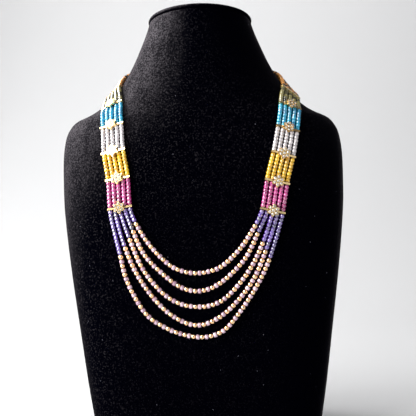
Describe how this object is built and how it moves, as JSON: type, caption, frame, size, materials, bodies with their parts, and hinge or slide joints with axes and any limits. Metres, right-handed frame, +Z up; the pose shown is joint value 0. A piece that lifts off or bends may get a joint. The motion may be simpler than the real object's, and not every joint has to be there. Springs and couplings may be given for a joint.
{
  "type": "multi strand necklace on a neck bust",
  "caption": "Necklace of bead strands under coloured bands of gem beads with gold spacer bars and stone flowers, worn by a plain black velvet neck bust.",
  "frame": {"origin": "under the middle of the bust's foot, on the surface that it stands on", "axes": "+Z up, -Y towards the front of the bust, +X to the right as seen from the front"},
  "size_m": [0.2494, 0.1327, 0.3732],
  "materials": {
    "black_velvet": "short black velvet nap, soft sheen at grazing angles",
    "bead_gold": "polished pale gold plate",
    "spacer_gold": "polished gold plate",
    "lilac_gem": "faceted, milky pale lilac",
    "thread": "fine twisted thread",
    "clear_stone": "round brilliant cut, colourless",
    "purple_gem": "finely faceted, polished",
    "pink_gem": "finely faceted, polished",
    "yellow_gem": "finely faceted, polished",
    "white_gem": "finely faceted, polished",
    "turquoise_gem": "finely faceted, polished",
    "olive_gem": "finely faceted, polished",
    "amber_gem": "finely faceted, polished"
  },
  "bodies": {
    "root": {"bust_body": "black_velvet", "neck_cap": "black_velvet", "gold_beads_1": "bead_gold", "gold_beads_2": "bead_gold", "gold_beads_3": "bead_gold", "gold_beads_4": "bead_gold", "gold_beads_5": "bead_gold", "lilac_beads_1": "lilac_gem", "lilac_beads_2": "lilac_gem", "lilac_beads_3": "lilac_gem", "lilac_beads_4": "lilac_gem", "lilac_beads_5": "lilac_gem", "bead_threads": "thread", "purple_strings_left": "purple_gem", "pink_strings_left": "pink_gem", "yellow_strings_left": "yellow_gem", "white_strings_left": "white_gem", "turquoise_strings_left": "turquoise_gem", "olive_strings_left": "olive_gem", "amber_strings_left": "amber_gem", "spacer_left_1": "spacer_gold", "spacer_left_2": "spacer_gold", "spacer_left_3": "spacer_gold", "spacer_left_4": "spacer_gold", "spacer_left_5": "spacer_gold", "plain_bar_left": "spacer_gold", "purple_strings_right": "purple_gem", "pink_strings_right": "pink_gem", "yellow_strings_right": "yellow_gem", "white_strings_right": "white_gem", "turquoise_strings_right": "turquoise_gem", "olive_strings_right": "olive_gem", "amber_strings_right": "amber_gem", "spacer_right_1": "spacer_gold", "spacer_right_2": "spacer_gold", "spacer_right_3": "spacer_gold", "spacer_right_4": "spacer_gold", "spacer_right_5": "spacer_gold", "plain_bar_right": "spacer_gold", "clasp": "spacer_gold"}
  },
  "joints": []
}
